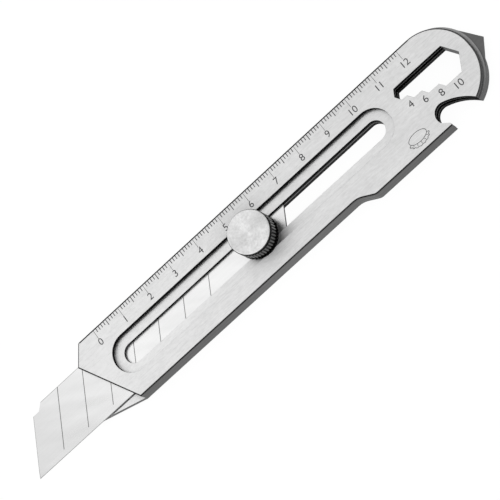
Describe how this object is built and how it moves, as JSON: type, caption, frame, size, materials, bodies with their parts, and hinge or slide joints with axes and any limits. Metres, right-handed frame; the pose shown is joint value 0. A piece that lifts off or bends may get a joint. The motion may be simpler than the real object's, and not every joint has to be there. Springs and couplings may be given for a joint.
{
  "type": "utility knife",
  "caption": "Flat all-steel utility knife: a snap-off blade slides in a slotted plate handle under a clamping thumb knob; the tail has a hex wrench cutout and bottle opener.",
  "frame": {"origin": "under the middle of the overall length and width, in the plane of the back plate's outer face, with the blade out as pictured", "axes": "+X towards the blade tip, +Y towards the cutting edge, +Z out of the ruler face; the knife lies on its back"},
  "size_m": [0.1812, 0.0288, 0.0118],
  "materials": {
    "plate_steel": "brushed stainless plate with cut edges",
    "blade_steel": "ground and polished blade strip",
    "knob_steel": "turned face and knurled rim",
    "fastener_steel": "plain turned stainless"
  },
  "bodies": {
    "handle": {"front_plate": "plate_steel", "middle_plate": "plate_steel", "back_plate": "plate_steel", "case_screws": "fastener_steel", "dowel_pins": "fastener_steel"},
    "blade_carriage": {"snap_off_blade": "blade_steel", "clamp_bolt": "fastener_steel"},
    "washer": {"clamp_washer": "fastener_steel"},
    "knob": {"thumb_knob": "knob_steel"}
  },
  "joints": [
    {"name": "blade_slide", "type": "slide", "parent": "handle", "child": "blade_carriage", "axis": [1, 0, 0], "range_m": [-0.042, 0.048]},
    {"name": "washer_lift", "type": "slide", "parent": "blade_carriage", "child": "washer", "axis": [0, 0, 1], "range_m": [0, 0.0007]},
    {"name": "knob_turn", "type": "hinge", "parent": "washer", "child": "knob", "pos_m": [-0.00504, -0.0007, 0.0051], "axis": [0, 0, 1], "range_deg": [0, 360]}
  ],
  "couplings": [
    {"joint": "washer_lift", "follows": "knob_turn", "m_per_rad": 0.0001114}
  ]
}
